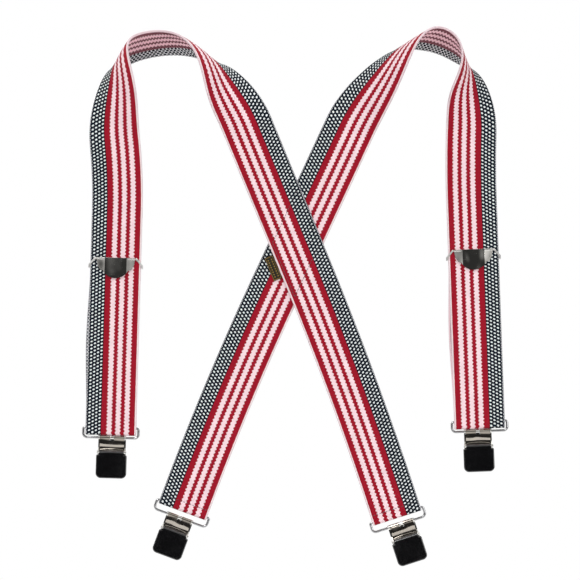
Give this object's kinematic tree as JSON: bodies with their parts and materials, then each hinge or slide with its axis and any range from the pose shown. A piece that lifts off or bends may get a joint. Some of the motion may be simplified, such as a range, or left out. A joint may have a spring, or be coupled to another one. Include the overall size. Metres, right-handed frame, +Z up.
{
  "type": "suspenders",
  "caption": "X-back trouser suspenders in wide striped and dotted elastic webbing, with metal length adjusters and lever clips on wire rings.",
  "frame": {"origin": "middle of the back crossing, on the outer face of the front strap", "axes": "+X to the viewer's right, +Y away from the outer face of the webbing, +Z up towards the shoulder loops, with the suspenders hanging flat"},
  "size_m": [0.4276, 0.0686, 0.5389],
  "materials": {
    "webbing": "woven elastic, matt, red and white stripes with a dotted navy band",
    "thread": "dark sewing thread",
    "label": "dark woven label with a gold border",
    "nickel": "bright nickel plate",
    "black_enamel": "gloss black enamel",
    "pad": "ribbed matt plastic",
    "spring_steel": "plain spring steel"
  },
  "bodies": {
    "webbing": {"left_strap": "webbing", "right_strap": "webbing", "crossing_stitching": "thread", "woven_label": "label", "back_left_end_stitching": "thread", "back_right_end_stitching": "thread", "left_return_leg": "webbing", "right_return_leg": "webbing"},
    "left_adjuster": {"left_adjuster_frame": "nickel", "left_adjuster_pin": "nickel", "left_adjuster_stitching": "thread"},
    "left_adjuster_lever": {"left_adjuster_lever": "nickel"},
    "right_adjuster": {"right_adjuster_frame": "nickel", "right_adjuster_pin": "nickel", "right_adjuster_stitching": "thread"},
    "right_adjuster_lever": {"right_adjuster_lever": "nickel"},
    "front_left_ring": {"front_left_ring": "nickel"},
    "front_left_clip": {"front_left_clip_back_plate": "nickel", "front_left_clip_pivot_pin": "nickel", "front_left_clip_back_pad": "pad", "front_left_clip_spring": "spring_steel"},
    "front_left_jaw": {"front_left_clip_front_jaw": "nickel", "front_left_clip_front_pad": "pad"},
    "front_left_lever": {"front_left_clip_lever": "black_enamel"},
    "front_right_ring": {"front_right_ring": "nickel"},
    "front_right_clip": {"front_right_clip_back_plate": "nickel", "front_right_clip_pivot_pin": "nickel", "front_right_clip_back_pad": "pad", "front_right_clip_spring": "spring_steel"},
    "front_right_jaw": {"front_right_clip_front_jaw": "nickel", "front_right_clip_front_pad": "pad"},
    "front_right_lever": {"front_right_clip_lever": "black_enamel"},
    "back_left_ring": {"back_left_ring": "nickel"},
    "back_left_clip": {"back_left_clip_back_plate": "nickel", "back_left_clip_pivot_pin": "nickel", "back_left_clip_back_pad": "pad", "back_left_clip_spring": "spring_steel"},
    "back_left_jaw": {"back_left_clip_front_jaw": "nickel", "back_left_clip_front_pad": "pad"},
    "back_left_lever": {"back_left_clip_lever": "black_enamel"},
    "back_right_ring": {"back_right_ring": "nickel"},
    "back_right_clip": {"back_right_clip_back_plate": "nickel", "back_right_clip_pivot_pin": "nickel", "back_right_clip_back_pad": "pad", "back_right_clip_spring": "spring_steel"},
    "back_right_jaw": {"back_right_clip_front_jaw": "nickel", "back_right_clip_front_pad": "pad"},
    "back_right_lever": {"back_right_clip_lever": "black_enamel"}
  },
  "joints": [
    {"name": "left_adjuster_slide", "type": "slide", "parent": "webbing", "child": "left_adjuster", "axis": [0.0297, 0, 0.9996], "range_m": [-0.08, 0.04], "deforming": ["left_return_leg"]},
    {"name": "left_adjuster_flip", "type": "hinge", "parent": "left_adjuster", "child": "left_adjuster_lever", "pos_m": [-0.18031, 0.00517, -0.01496], "axis": [-0.9996, 0, 0.0297], "range_deg": [0, 140]},
    {"name": "right_adjuster_slide", "type": "slide", "parent": "webbing", "child": "right_adjuster", "axis": [-0.0366, 0, 0.9993], "range_m": [-0.08, 0.04], "deforming": ["right_return_leg"]},
    {"name": "right_adjuster_flip", "type": "hinge", "parent": "right_adjuster", "child": "right_adjuster_lever", "pos_m": [0.17781, 0.00776, -0.00641], "axis": [-0.9993, 0, -0.0366], "range_deg": [0, 140]},
    {"name": "front_left_ring_swing", "type": "hinge", "parent": "webbing", "child": "front_left_ring", "pos_m": [-0.18534, 0.01007, -0.18448], "axis": [-0.9996, 0, 0.0297], "range_deg": [-40, 40]},
    {"name": "front_left_clip_swing", "type": "hinge", "parent": "front_left_ring", "child": "front_left_clip", "pos_m": [-0.18414, 0.01007, -0.19452], "axis": [-0.9996, 0, 0.0297], "range_deg": [-45, 45]},
    {"name": "front_left_lever_flip", "type": "hinge", "parent": "front_left_clip", "child": "front_left_lever", "pos_m": [-0.18457, 0.00347, -0.20891], "axis": [-0.9996, 0, 0.0297], "range_deg": [0, 115]},
    {"name": "front_left_jaw_open", "type": "hinge", "parent": "front_left_clip", "child": "front_left_jaw", "pos_m": [-0.18414, 0.01007, -0.19452], "axis": [-0.9996, 0, 0.0297], "range_deg": [0, 10]},
    {"name": "front_right_ring_swing", "type": "hinge", "parent": "webbing", "child": "front_right_ring", "pos_m": [0.1841, 0.01266, -0.178], "axis": [-0.9993, 0, -0.0366], "range_deg": [-40, 40]},
    {"name": "front_right_clip_swing", "type": "hinge", "parent": "front_right_ring", "child": "front_right_clip", "pos_m": [0.18247, 0.01266, -0.18806], "axis": [-0.9993, 0, -0.0366], "range_deg": [-45, 45]},
    {"name": "front_right_lever_flip", "type": "hinge", "parent": "front_right_clip", "child": "front_right_lever", "pos_m": [0.18299, 0.00606, -0.20245], "axis": [-0.9993, 0, -0.0366], "range_deg": [0, 115]},
    {"name": "front_right_jaw_open", "type": "hinge", "parent": "front_right_clip", "child": "front_right_jaw", "pos_m": [0.18247, 0.01266, -0.18806], "axis": [-0.9993, 0, -0.0366], "range_deg": [0, 10]},
    {"name": "back_left_ring_swing", "type": "hinge", "parent": "webbing", "child": "back_left_ring", "pos_m": [-0.11272, 0.00555, -0.26524], "axis": [-0.9378, 0, 0.3473], "range_deg": [-40, 40]},
    {"name": "back_left_clip_swing", "type": "hinge", "parent": "back_left_ring", "child": "back_left_clip", "pos_m": [-0.1162, 0.00555, -0.27462], "axis": [-0.9378, 0, 0.3473], "range_deg": [-45, 45]},
    {"name": "back_left_lever_flip", "type": "hinge", "parent": "back_left_clip", "child": "back_left_lever", "pos_m": [-0.1212, -0.00105, -0.28813], "axis": [-0.9378, 0, 0.3473], "range_deg": [0, 115]},
    {"name": "back_left_jaw_open", "type": "hinge", "parent": "back_left_clip", "child": "back_left_jaw", "pos_m": [-0.1162, 0.00555, -0.27462], "axis": [-0.9378, 0, 0.3473], "range_deg": [0, 10]},
    {"name": "back_right_ring_swing", "type": "hinge", "parent": "webbing", "child": "back_right_ring", "pos_m": [0.1006, 0.00345, -0.27148], "axis": [-0.9515, 0, -0.3076], "range_deg": [-40, 40]},
    {"name": "back_right_clip_swing", "type": "hinge", "parent": "back_right_ring", "child": "back_right_clip", "pos_m": [0.10538, 0.00345, -0.28044], "axis": [-0.9515, 0, -0.3076], "range_deg": [-45, 45]},
    {"name": "back_right_lever_flip", "type": "hinge", "parent": "back_right_clip", "child": "back_right_lever", "pos_m": [0.10981, -0.00315, -0.29414], "axis": [-0.9515, 0, -0.3076], "range_deg": [0, 115]},
    {"name": "back_right_jaw_open", "type": "hinge", "parent": "back_right_clip", "child": "back_right_jaw", "pos_m": [0.10538, 0.00345, -0.28044], "axis": [-0.9515, 0, -0.3076], "range_deg": [0, 10]}
  ],
  "couplings": [
    {"joint": "front_left_jaw_open", "follows": "front_left_lever_flip", "ratio": 0.086956},
    {"joint": "front_right_jaw_open", "follows": "front_right_lever_flip", "ratio": 0.086956},
    {"joint": "back_left_jaw_open", "follows": "back_left_lever_flip", "ratio": 0.086956},
    {"joint": "back_right_jaw_open", "follows": "back_right_lever_flip", "ratio": 0.086956}
  ]
}
